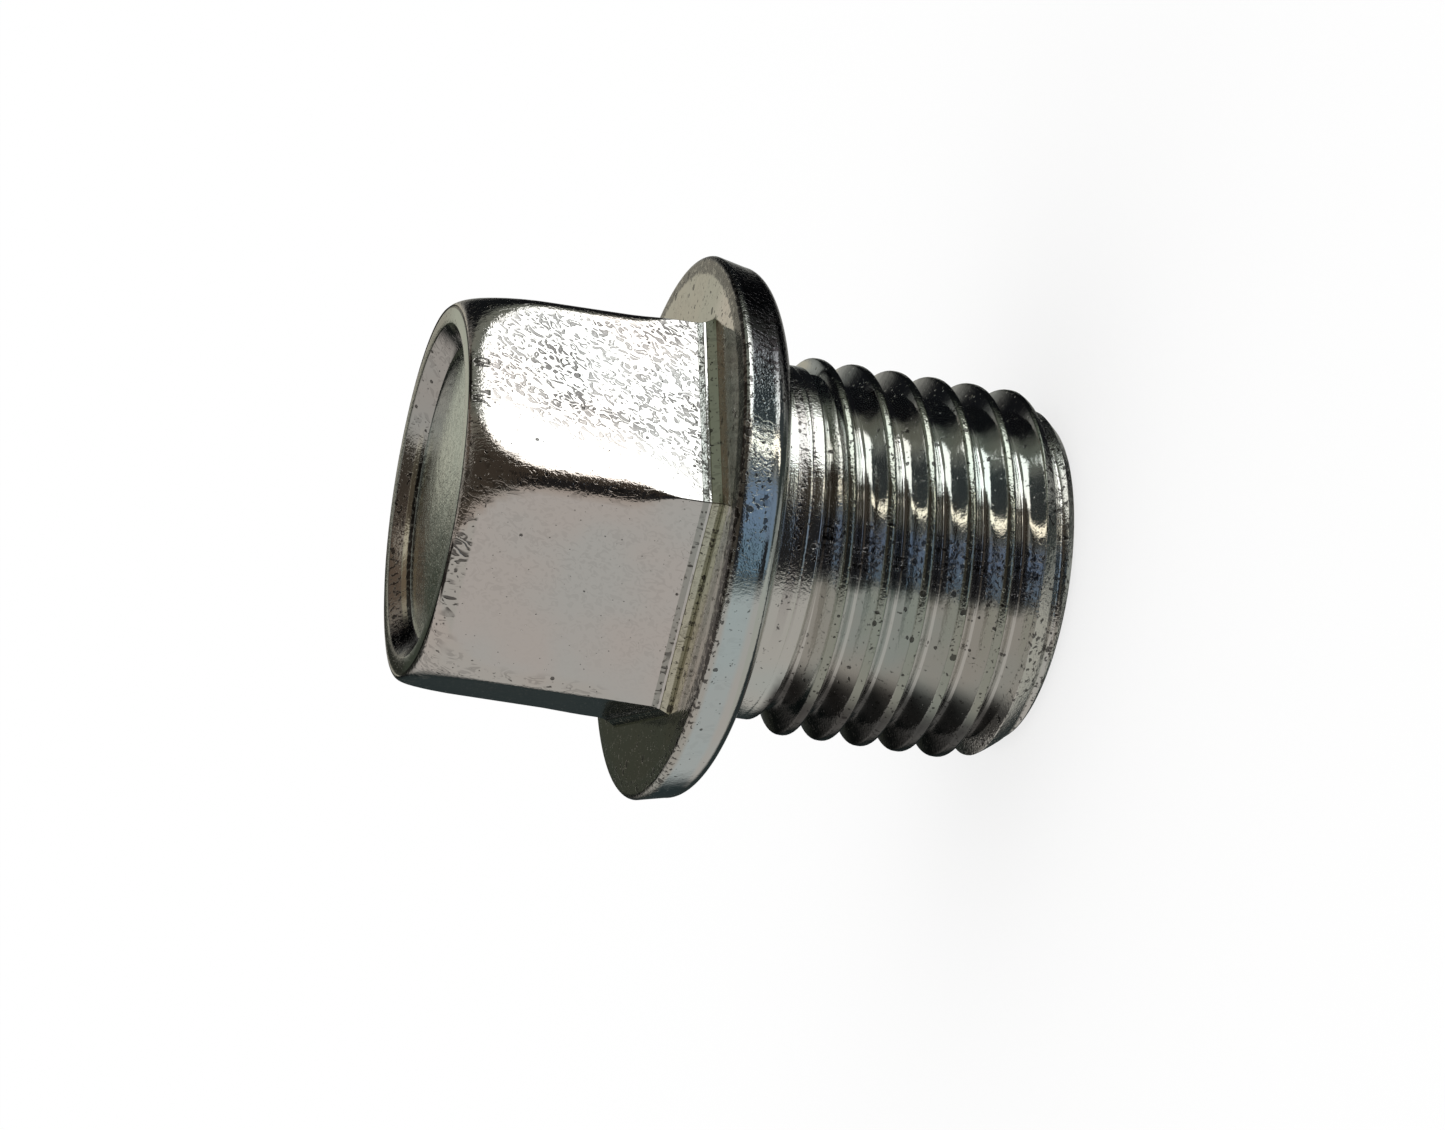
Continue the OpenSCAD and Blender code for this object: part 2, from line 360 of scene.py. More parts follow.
@dataclass
class HexHead:
    """The hexagon head: dished top, rim, crown, flats and the bevelled foot.

    Sizes are in mm, angles in degrees and the corners' fade in radians. The mottling is a share for each
    flat, and what stays clean beside it is a share of the flat's width. Each step of the fillet is a share of
    it outward and upward. Each step of the land is a distance out from the wall and a drop below the top, and
    each step of the rim a distance in from it and a drop.
    """

    across_flats: float = 13.9
    height: float = 8.95
    draft: float = 0.7
    sharp_height: float = 1.3
    round_run: float = 1.8
    edge_radius: float = 0.9
    sharp_radius: float = 0.06
    crown: float = 3.0
    rim_inset: float = 0.1
    roll: float = 0.7
    flat_left: float = 0.1
    dish_depth: float = 0.7
    dish_lean: float = 0.7
    dish_fillet: float = 0.05
    fillet_steps: tuple[tuple[float, float], ...] = ((-0.3, 0.12), (0.3, 0.5))
    floor_shares: tuple[float, ...] = (0.02, 0.1, 0.3, 0.5, 0.7, 0.85, 0.95)
    border_top: float = 0.11
    strip_foot: float = 0.15
    strip_top: float = 0.26
    side_foot: float = 0.3
    land: float = 0.65
    land_bend: float = 0.04
    land_steps: tuple[tuple[float, float], ...] = ((0.005, 0.008), (0.03, 0.0))
    land_edge: float = 0.09
    rim_steps: tuple[tuple[float, float], ...] = ((0.075, 0.001), (0.012, 0.03))
    edge_zone: float = 0.075
    crown_zone: float = 0.7
    foot_height: float = 0.65
    bevel_height: float = 0.32
    foot_width: float = 0.22
    flare_width: float = 0.06
    mottle_by_flat: tuple[float, ...] = (0.4, 0.5, 0.4, 0.3, 0.12, 1.0)
    mottle_least: float = 0.18
    clean_at_foot: float = 0.1
    clean_at_top: float = 0.42
    clean_fade: float = 0.3
    corner_fade: float = 0.02
    # Where the dish's wall has its painted shade and painted reflection.
    dark_wall: Sector = Sector(150.0, 53.0, 24.0)
    # Where the land's far side takes its painted shade.
    far_land: Sector = Sector(120.0, 95.0, 30.0)
    # Where the near-black patch of painted shade lies on the dish's wall and land.
    dark_spot: Sector = Sector(-166.0, 17.0, 9.0)
    # Where the round edges take their painted shade.
    dark_corner: Sector = Sector(-60.0, 20.0, 16.0)
    # Where the foot's grooves lose their painted shade and the flange's face next to them gets its painted
    # reflection.
    plain_foot: Sector = Sector(-30.0, 28.0, 6.0)
    side_rings: int = 14
    crown_rings: int = 26
    corner_steps: tuple[float, ...] = (
        0, 0.1, 0.2, 0.3, 0.45, 0.7, 1, 1.5, 2.2, 3.2, 4.5, 6, 8, 10, 12.5, 15, 17.5, 20, 22.5, 25, 27.5,
    )

    def turns(self) -> np.ndarray:
        """Gives the columns' angles, close together at the hexagon's edges.

        Returns:
            The angles, in radians.
        """
        half = list(self.corner_steps)
        sector = half + [30.0] + [60.0 - x for x in reversed(half[1:])]
        return np.radians([60.0 * k + x for k in range(6) for x in sector])

    def rim_radius(self) -> float:
        """Gives the radius of the rim's circle at the top."""
        return self.flat_at(self.height) - self.rim_inset

    def flat_at(self, z: float) -> float:
        """Gives the distance from the axis to a flat at a height above the flange."""
        return self.across_flats / 2 - z * math.tan(math.radians(self.draft))

    def face_at(self, z: float) -> float:
        """Gives that distance with the roll over to the rim."""
        return self.flat_at(z) - self.rim_inset * (1 - quarter((self.height - z) / self.roll))

    def edge_at(self, z: float) -> float:
        """Gives the radius of the hexagon's edges at one height.

        Args:
            z: Height above the flange.

        Returns:
            The radius: small at the foot, growing upward, and as large as the crown's roll over needs.
        """
        foot = self.height - self.crown
        grown = float(ease(np.array((z - self.sharp_height) / self.round_run)))
        if z < foot:
            return self.sharp_radius + (self.edge_radius - self.sharp_radius) * grown
        low = (self.flat_at(foot) - self.edge_radius) / COS_30 + self.edge_radius
        reach = self.rim_radius() + (low - self.rim_radius()) * quarter((self.height - z) / self.crown)
        face = self.face_at(z)
        radius = (face / COS_30 - reach) / (1 / COS_30 - 1)
        return min(face - self.flat_left, max(radius, self.sharp_radius))

    @staticmethod
    def outline(face: float, edge: float, turns: np.ndarray) -> np.ndarray:
        """Gives the radius of a hexagon with round edges in each direction.

        Args:
            face: Distance from the axis to the flats.
            edge: Radius of the edges.
            turns: The directions, in radians.

        Returns:
            The radius in each direction.
        """
        off = np.abs((turns + SIXTH / 2) % SIXTH - SIXTH / 2)
        middle = (face - edge) / COS_30
        tangent = math.atan2(edge * SIN_30, middle + edge * COS_30)
        arc = middle * np.cos(off) + np.sqrt(np.maximum(edge**2 - (middle * np.sin(off)) ** 2, 0.0))
        flat = face / np.cos(SIXTH / 2 - off)
        return np.where(off < tangent, arc, flat)

    def _mottle(self, turns: np.ndarray, z: float) -> np.ndarray:
        """Says how mottled the flats are at one height: less towards one edge of each, and near the top.

        Args:
            turns: The directions, in radians.
            z: Height above the flange.

        Returns:
            The share in each direction.
        """
        flat_number = (turns // SIXTH).astype(int)
        across = turns / SIXTH - flat_number
        clean = self.clean_at_foot + (self.clean_at_top - self.clean_at_foot) * z / self.height
        marked = ease((across - clean) / self.clean_fade + 0.5)
        share = self.mottle_least + (1.0 - self.mottle_least) * marked
        return np.array(self.mottle_by_flat)[flat_number] * share

    def _corner(self, turns: np.ndarray, z: float) -> np.ndarray:
        """Says how much of the corners' finish each direction has: all of it on the hexagon's round edges.

        Args:
            turns: The directions, in radians.
            z: Height above the flange.

        Returns:
            The share in each direction.
        """
        off = np.abs((turns + SIXTH / 2) % SIXTH - SIXTH / 2)
        edge = self.edge_at(z)
        reach = edge * SIN_30 / (self.face_at(z) / COS_30)
        inside = ease((reach + self.corner_fade - off) / (2 * self.corner_fade))
        return inside * min(edge / self.edge_radius, 1.0)

    def _top_steps(self, turns: np.ndarray, top: float) -> list[tuple[float, float, Dress]]:
        """Gives the top's section: the dish's floor and leaning wall, the land and the rim's edge.

        Args:
            turns: The directions, in radians.
            top: Height of the land.

        Returns:
            Radius, height and dress of each ring.
        """
        rim = self.rim_radius()
        wall = rim - self.land
        floor = wall - self.dish_lean
        deep = top - self.dish_depth
        lean = self.dish_lean / self.dish_depth
        fillet = self.dish_fillet
        dark = self.dark_wall.share(turns)
        # The near-black patch of painted shade, on the wall and the land.
        spot = (Zone.SPOT, self.dark_spot.share(turns))
        # On one side the wall's border, strip and lower side wear painted shade and a painted reflection.
        border = Dress(Zone.WALL, blends=((Zone.DISH_EDGE, dark), spot))
        strip = Dress(Zone.WALL, blends=((Zone.WALL_TAN, dark), spot))
        side = Dress(Zone.WALL, blends=((Zone.WALL_LOW, dark), spot))
        land = Dress(Zone.RIM, blends=((Zone.RIM_FAR, self.far_land.share(turns)), spot))
        levels = (
            (self.border_top, border),
            (self.strip_foot, strip),
            (self.strip_top, strip),
            (self.side_foot, side),
        )
        return [
            *((floor * share, deep, Dress(Zone.DISH)) for share in self.floor_shares),
            (floor - fillet, deep, Dress(Zone.DISH)),
            *((floor + fillet * out, deep + fillet * up, border) for out, up in self.fillet_steps),
            *((floor + lean * level, deep + level, dress) for level, dress in levels),
            (wall - lean * self.land_bend, top - self.land_bend, side),
            *((wall + out, top - drop, land) for out, drop in self.land_steps),
            (rim - self.land_edge, top, land),
            *((rim - inset, top - drop, Dress(Zone.EDGE)) for inset, drop in self.rim_steps),
        ]

    def _side_heights(self) -> list[float]:
        """Gives the heights of the rings on the crown and the flats, from the top down.

        Returns:
            The heights above the flange.
        """
        foot = self.height - self.crown
        shares = [i / self.crown_rings for i in range(1, self.crown_rings + 1)]
        flats = [foot - (foot - self.foot_height) * i / self.side_rings for i in range(1, self.side_rings)]
        return [self.height - self.crown * share**2 for share in shares] + flats

    def _side_dress(self, turns: np.ndarray, z: float) -> Dress:
        """Gives what a ring on the crown or the flats wears.

        Args:
            turns: The directions, in radians.
            z: Height above the flange.

        Returns:
            The dress.
        """
        zone = Zone.CROWN if z > self.height - self.crown_zone else Zone.FLAT
        # The crown's top edge takes the near-black tint of painted shade.
        zone = Zone.EDGE if z > self.height - self.edge_zone else zone
        corner = self._corner(turns, z)
        # Painted shade on the round edges of one side of the head.
        front = corner * self.dark_corner.share(turns)
        return Dress(zone, self._mottle(turns, z), ((Zone.CORNER, corner), (Zone.CORNER_DARK, front)))

    def _foot_steps(self) -> list[tuple[float, float, Zone, Zone | None]]:
        """Gives the foot's section from the flat down: a flare, a polished lip, a bevel and two thin grooves.

        Returns:
            Height over the flange, width past the flat and zone of each ring, and its zone on the near side
            where that is another.
        """
        low, wide, lip = self.bevel_height, self.foot_width, self.flare_width
        return [
            (self.foot_height, 0.0, Zone.FLAT, None),
            (self.foot_height - 0.02, 0.001, Zone.FLARE, None),
            (low + 0.12, 0.024, Zone.FLARE, None),
            (low + 0.1, lip - 0.008, Zone.LIP, None),
            (low + 0.025, lip - 0.004, Zone.LIP, None),
            # The grooves and the crease below wear painted shade, which the near side swaps for the bevel's
            # and the flange's finish.
            (low + 0.016, lip - 0.012, Zone.GROOVE, None),
            (low + 0.004, lip - 0.004, Zone.GROOVE, None),
            (low - 0.016, lip + 0.012, Zone.BEVEL, None),
            (0.13, wide - 0.065, Zone.BEVEL, None),
            (0.09, wide - 0.045, Zone.GROOVE, Zone.BEVEL),
            (0.012, wide - 0.006, Zone.GROOVE, Zone.BEVEL),
            (0.0, wide + 0.05, Zone.GROOVE, Zone.FLANGE_NEAR),
            (0.0, wide + 0.085, Zone.FLANGE, Zone.FLANGE_NEAR),
        ]

    def grow(self, skin: Skin, base: float) -> None:
        """Adds the dish, the land, the crown, the flats and the foot to a skin.

        Args:
            skin: The skin to grow.
            base: Height of the flange's upper face.
        """
        turns = self.turns()
        top = base + self.height
        skin.pole(top - self.dish_depth, Zone.DISH)
        for radius, height, dress in self._top_steps(turns, top):
            skin.add(ring(radius, turns, height), turns, dress)
        for z in self._side_heights():
            radii = self.outline(self.face_at(z), self.edge_at(z), turns)
            skin.add(ring(radii, turns, base + z), turns, self._side_dress(turns, z))
        plain = self.plain_foot.share(turns)
        for z, width, zone, near in self._foot_steps():
            radii = self.outline(self.flat_at(z) + width, self.sharp_radius, turns)
            dress = Dress(zone, self._mottle(turns, z), ((near, plain),) if near else ())
            skin.add(ring(radii, turns, base + z), turns, dress)


@dataclass
class Flange:
    """The round flange with its rounded rim, down to the seat.

    Sizes are in mm. Each step of the face is a distance out from its inner edge and a drop below it, and each
    step of the brow a distance in from the rounded edge, a drop and a zone.
    """

    diameter: float = 20.1
    thickness: float = 2.2
    inner: float = 8.42
    face_steps: tuple[tuple[float, float], ...] = ((0.0, 0.0), (0.12, 0.002), (0.7, 0.012))
    brow_steps: tuple[tuple[float, float, Zone], ...] = (
        (0.48, 0.022, Zone.FLANGE), (0.34, 0.027, Zone.BROW), (0.12, 0.035, Zone.BROW),
    )
    brow_drop: float = 0.05
    brow_width: float = 0.26
    brow_height: float = 0.26
    brow_parts: int = 12
    # From which part of the brow's rounding the painted shade is lighter.
    bright_edge_from: int = 8
    rim_taper: float = 0.22
    band_parts: int = 6
    belly_height: float = 0.9
    belly_width: float = 1.7
    belly_parts: int = 20
    columns: int = 192
    # Where the band and the belly take their painted shade.
    dark_top: Sector = Sector(23.0, 60.0, 30.0)
    # Where the brow's painted shade is lighter.
    plain_brow: Sector = Sector(-177.0, 70.0, 40.0)
    # Where the band takes its painted reflection.
    painted_blue_side: Sector = Sector(-58.0, 12.0, 14.0)
    # Where the flange's face takes its painted reflection.
    near_face: Sector = Sector(-30.0, 31.0, 10.0)

    def profile(self) -> list[tuple[float, float, Zone]]:
        """Gives the section from the upper face round the rim to the seat.

        Returns:
            Radius, height and zone of each ring.
        """
        outer = self.diameter / 2
        band = outer - self.rim_taper
        top = self.thickness
        brow = outer - self.brow_width
        made = [(self.inner + out, top - drop, Zone.FLANGE) for out, drop in self.face_steps]
        made += [(brow - inset, top - drop, zone) for inset, drop, zone in self.brow_steps]
        for i, a in enumerate(quarter_turn(self.brow_parts)):
            height = top - self.brow_drop - (self.brow_height - self.brow_drop) * (1 - math.cos(a))
            zone = Zone.BROW if i < self.bright_edge_from else Zone.BROW_EDGE
            made.append((outer - self.brow_width * (1 - math.sin(a)), height, zone))
        for i in range(1, self.band_parts):
            share = i / self.band_parts
            height = top - self.brow_height + (self.belly_height - top + self.brow_height) * share
            made.append((outer + (band - outer) * share, height, Zone.BAND))
        for i, a in enumerate(quarter_turn(self.belly_parts)):
            radius = band - self.belly_width * (1 - math.cos(a))
            zone = Zone.BELLY if i < self.belly_parts - 1 else Zone.SEAT
            made.append((radius, self.belly_height * (1 - math.sin(a)), zone))
        return made

    def grow(self, skin: Skin) -> None:
        """Adds the flange to a skin.

        Args:
            skin: The skin to grow.
        """
        turns = even_turns(self.columns)
        dark = (Zone.BAND_TOP, self.dark_top.share(turns))
        plain = (Zone.BROW_LOW, self.plain_brow.share(turns))
        # The zones blended in by direction on the flange: painted shade and painted reflections.
        painted_light = {
            Zone.FLANGE: ((Zone.FLANGE_NEAR, self.near_face.share(turns)),),
            Zone.BROW: (plain,),
            Zone.BROW_EDGE: (plain,),
            Zone.BAND: (dark, (Zone.BAND_SIDE, self.painted_blue_side.share(turns))),
            Zone.BELLY: (dark,),
        }
        for radius, height, zone in self.profile():
            skin.add(ring(radius, turns, height), turns, Dress(zone, blends=painted_light.get(zone, ())))


@dataclass
class ThreadedShank:
    """The neck and the rolled right-hand thread, down to the chamfered end.

    Sizes are in mm. The crest is level over a share of its width, and its zone reaches down and fades by so
    many of its drops. Each step of the neck is a height, a distance out from the neck and a zone. Each step
    of the end is a distance in from its edge, a height over it and a zone.
    """

    length: float = 11.55
    neck_diameter: float = 13.15
    neck_length: float = 1.85
    neck_fillet: float = 0.35
    fillet_parts: int = 8
    seat_edge: float = 0.3
    neck_steps: tuple[tuple[float, float, Zone], ...] = (
        (-0.6, 0.0, Zone.NECK),
        (-0.88, 0.0, Zone.NECK),
        # The neck's shallow grooves. On one side they wear painted shade.
        (-0.93, -0.008, Zone.ROLLED_AND_SHADED),
        (-1.22, -0.01, Zone.ROLLED_AND_SHADED),
        (-1.29, 0.0, Zone.NECK),
        (-1.36, 0.016, Zone.NECK),
        (-1.43, 0.01, Zone.NECK),
        (-1.46, -0.01, Zone.ROLLED_AND_SHADED),
        (-1.51, -0.01, Zone.ROLLED_AND_SHADED),
        (-1.56, 0.0, Zone.NECK),
    )
    major_diameter: float = 13.95
    pitch: float = 1.5
    depth: float = 0.95
    crest_width: float = 0.34
    crest_drop: float = 0.04
    crest_level: float = 0.5
    crest_height: float = -2.6
    crest_softness: float = 0.025
    crest_reach: float = 2.5
    crest_fade: float = 2.0
    root_width: float = 0.24
    root_softness: float = 0.07
    samples: int = 1920
    runout: float = 0.55
    runout_depth: float = 0.1
    end_diameter: float = 11.9
    end_run: float = 1.45
    end_bulge: float = 0.07
    end_steps: tuple[tuple[float, float, Zone], ...] = ((0.01, 0.004, Zone.CHAMFER), (0.04, 0.0, Zone.END))
    end_shares: tuple[float, ...] = (0.95, 0.8, 0.5, 0.2)
    columns: int = 96
    # Where the thread's bottom side takes its painted shade.
    dark_low: Sector = Sector(-157.0, 41.0, 14.0)
    # Where the neck's grooves take their painted shade. Elsewhere they wear the neck's finish.
    rolled_and_shaded_side: Sector = Sector(-37.0, 50.0, 40.0)
    # Where the thread takes its painted reflection.
    painted_blue_side: Sector = Sector(-66.0, 9.0, 8.0)

    @cached_property
    def section(self) -> tuple[np.ndarray, np.ndarray]:
        """The thread's section over one pitch, with its corners rounded.

        Returns:
            Distances along the axis from the crest's middle, and the radii there.
        """
        major = self.major_diameter / 2
        root = major - self.depth
        level = self.crest_width * self.crest_level / 2
        low = (self.pitch - self.root_width) / 2
        knots = np.array([0, level, self.crest_width / 2, low, self.pitch / 2])
        radii = np.array([major, major, major - self.crest_drop, root, root])
        along = np.linspace(-self.pitch, self.pitch, self.samples + 1)
        away = np.abs((along + self.pitch / 2) % self.pitch - self.pitch / 2)
        plain = np.interp(away, knots, radii)
        gap = along[1] - along[0]
        crest = self._soften(plain, self.crest_softness / gap)
        valley = self._soften(plain, self.root_softness / gap)
        share = ease((away - self.crest_width) / (low - self.crest_width))
        soft = crest + (valley - crest) * share
        keep = slice(self.samples // 4, self.samples * 3 // 4 + 1)
        return along[keep], soft[keep]

    @staticmethod
    def _soften(values: np.ndarray, spread: float) -> np.ndarray:
        """Rounds the corners of a curve.

        Args:
            values: The curve, at even steps.
            spread: How far the rounding reaches, in steps.

        Returns:
            The rounded curve.
        """
        reach = int(4 * spread)
        weights = np.exp(-0.5 * (np.arange(-reach, reach + 1) / spread) ** 2)
        return np.convolve(values, weights / weights.sum(), mode="same")

    def radii(self, turns: np.ndarray, z: float) -> np.ndarray:
        """Gives the threaded length's radius in each direction at one height.

        Args:
            turns: The directions, in radians.
            z: The height.

        Returns:
            The radii: the thread's, held up by the run-out at the neck and cut by the chamfer at the end.
        """
        root = self.major_diameter / 2 - self.depth
        neck = self.neck_diameter / 2
        along, section = self.section
        phase = (z - self.crest_height - self.pitch * turns / (2 * math.pi) + self.pitch / 2) % self.pitch
        thread = np.interp(phase - self.pitch / 2, along, section)
        share = float(ease(np.array((-self.neck_length - z) / self.runout)))
        rod = root + (thread - root) * share
        cone = neck + (root - self.runout_depth - neck) * share
        slope = (self.major_diameter - self.end_diameter) / 2 / self.end_run
        up = min(max((z + self.length) / self.end_run, 0.0), 1.0)
        bulge = self.end_bulge * 4 * up * (1 - up)
        chamfer = self.end_diameter / 2 + (z + self.length) * slope + bulge
        return np.minimum(np.maximum(rod, cone), chamfer)

    def _grow_neck(self, skin: Skin, turns: np.ndarray) -> None:
        """Adds the seat's inner edge, the fillet and the neck to a skin.

        Args:
            skin: The skin to grow.
            turns: The directions, in radians.
        """
        neck = self.neck_diameter / 2
        skin.add(ring(neck + self.neck_fillet + self.seat_edge, turns, 0.0), turns, Zone.SEAT)
        for a in quarter_turn(self.fillet_parts):
            radius = neck + self.neck_fillet * (1 - math.sin(a))
            skin.add(ring(radius, turns, -self.neck_fillet * (1 - math.cos(a))), turns, Zone.NECK)
        plain = (Zone.NECK, 1.0 - self.rolled_and_shaded_side.share(turns))
        for z, out, zone in self.neck_steps:
            skin.add(ring(neck + out, turns, z), turns, Dress(zone, blends=(plain,)))

    def _grow_thread(self, skin: Skin, turns: np.ndarray) -> None:
        """Adds the thread with its run-out and its chamfered end to a skin.

        Args:
            skin: The skin to grow.
            turns: The directions, in radians.
        """
        step = self.pitch / self.columns
        major = self.major_diameter / 2
        side = (Zone.THREAD_SIDE, self.painted_blue_side.share(turns))
        dark = (Zone.THREAD_LOW, self.dark_low.share(turns))
        cut = self.end_run * (0.5 + self.depth / (self.major_diameter - self.end_diameter)) - self.length
        for i in range(int((self.length - self.neck_length) / step)):
            z = -self.neck_length - i * step
            radii = self.radii(turns, z)
            above = radii - major + self.crest_drop * self.crest_reach
            crest = (Zone.CREST, ease(above / (self.crest_drop * self.crest_fade)))
            zone = Zone.NECK if z > -self.neck_length - self.runout / 2 else Zone.THREAD
            dress = Dress(zone, blends=(side, crest, dark))
            skin.add(ring(radii, turns, z), turns, Zone.CHAMFER if z < cut else dress)

    def grow(self, skin: Skin) -> None:
        """Adds the neck, the thread and the flat end to a skin.

        Args:
            skin: The skin to grow.
        """
        turns = even_turns(self.columns)
        self._grow_neck(skin, turns)
        self._grow_thread(skin, turns)
        end = self.end_diameter / 2
        for inset, rise, zone in self.end_steps:
            skin.add(ring(end - inset, turns, -self.length + rise), turns, zone)
        for share in self.end_shares:
            skin.add(ring(end * share, turns, -self.length), turns, Zone.END)
        skin.pole(-self.length, Zone.END)


@dataclass(frozen=True)
class Pattern:
    """A noise of the coat: cells in a metre, finer layers, swirl, and the two values it steps between."""

    cells: float
    layers: float = 1.0
    swirl: float = 0.0
    low: float = 0.0
    high: float = 1.0


class NodeBench:
    """Puts nodes into one node tree and joins them."""

    def __init__(self, tree: bpy.types.NodeTree) -> None:
        """Keeps the tree to work on."""
        self.tree = tree

    def feed(self, socket: Socket, value: Value) -> None:
        """Joins a socket to another one, or sets its value.

        Args:
            socket: The input to feed.
            value: The output that it is joined to, or its value.
        """
        if isinstance(value, Socket):
            self.tree.links.new(value, socket)
        else:
            socket.default_value = value

    def put(self, kind: str, inputs: dict[int | str, Value] | None = None, **settings: str) -> bpy.types.Node:
        """Makes a node.

        Args:
            kind: The node's type.
            inputs: Values or sockets for its inputs.
            settings: Its other settings.

        Returns:
            The node.
        """
        node = self.tree.nodes.new(kind)
        for name, value in settings.items():
            setattr(node, name, value)
        for key, value in (inputs or {}).items():
            self.feed(node.inputs[key], value)
        return node

    def math(self, operation: str, *values: Value) -> Socket:
        """Makes a Math node and gives its result."""
        return self.put("ShaderNodeMath", dict(enumerate(values)), operation=operation).outputs[0]

    def vector(self, operation: str, *values: Value) -> bpy.types.Node:
        """Makes a Vector Math node."""
        return self.put("ShaderNodeVectorMath", dict(enumerate(values)), operation=operation)

    def total(self, *values: Value) -> Socket:
        """Adds several values up."""
        return reduce(lambda made, value: self.math("ADD", made, value), values)

    def product(self, *values: Value) -> Socket:
        """Multiplies several values."""
        return reduce(lambda made, value: self.math("MULTIPLY", made, value), values)

    def largest(self, *values: Value) -> Socket:
        """Gives the largest of several values."""
        return reduce(lambda made, value: self.math("MAXIMUM", made, value), values)

    def step(self, value: Value, low: float, high: float) -> Socket:
        """Goes softly from 0 to 1 while a value goes from low to high."""
        node = self.put("ShaderNodeMapRange", {0: value, 1: low, 2: high}, interpolation_type="SMOOTHSTEP")
        return node.outputs[0]

    def noise(self, place: Value, pattern: Pattern) -> Socket:
        """Makes a Noise Texture node and gives its value, about 0.5 on the whole."""
        look = {"Scale": pattern.cells, "Detail": pattern.layers, "Distortion": pattern.swirl}
        return self.put("ShaderNodeTexNoise", {"Vector": place, **look}).outputs[0]

    def patches(self, place: Value, pattern: Pattern) -> Socket:
        """Gives 1 in the patches where a noise is high and 0 where it is low."""
        return self.step(self.noise(place, pattern), pattern.low, pattern.high)

    def drawn_out(self, place: Value, slant: tuple[float, float, float], factor: float) -> Socket:
        """Scales a place by a factor along a slanting direction.

        Args:
            place: The place.
            slant: The direction, of length 1.
            factor: The factor along it.

        Returns:
            The scaled place.
        """
        along = self.vector("DOT_PRODUCT", place, slant).outputs["Value"]
        shift = self.vector("SCALE", slant)
        self.feed(shift.inputs["Scale"], self.product(along, factor - 1.0))
        return self.vector("ADD", place, shift.outputs[0]).outputs[0]

    def mixed(self, share: Value, first: Value, second: Value, blend: str = "MIX") -> Socket:
        """Mixes two colours.

        Args:
            share: How much of the second colour there is.
            first: The first colour.
            second: The second colour.
            blend: How they are mixed.

        Returns:
            The mixed colour.
        """
        node = self.put("ShaderNodeMix", data_type="RGBA", blend_type=blend)
        self.feed(node.inputs["Factor"], share)
        self.feed(node.inputs[MIX_FIRST], first)
        self.feed(node.inputs[MIX_SECOND], second)
        return node.outputs[MIX_RESULT]


@dataclass(frozen=True)
class Marks:
    """The values of the coat's marks at each place of the plug."""

    fine: Socket
    sand: Socket
    strokes: Socket
    combed: Socket
    turned: Socket
    dirt_and_shade: Socket
    holes: Socket
    dents: Socket


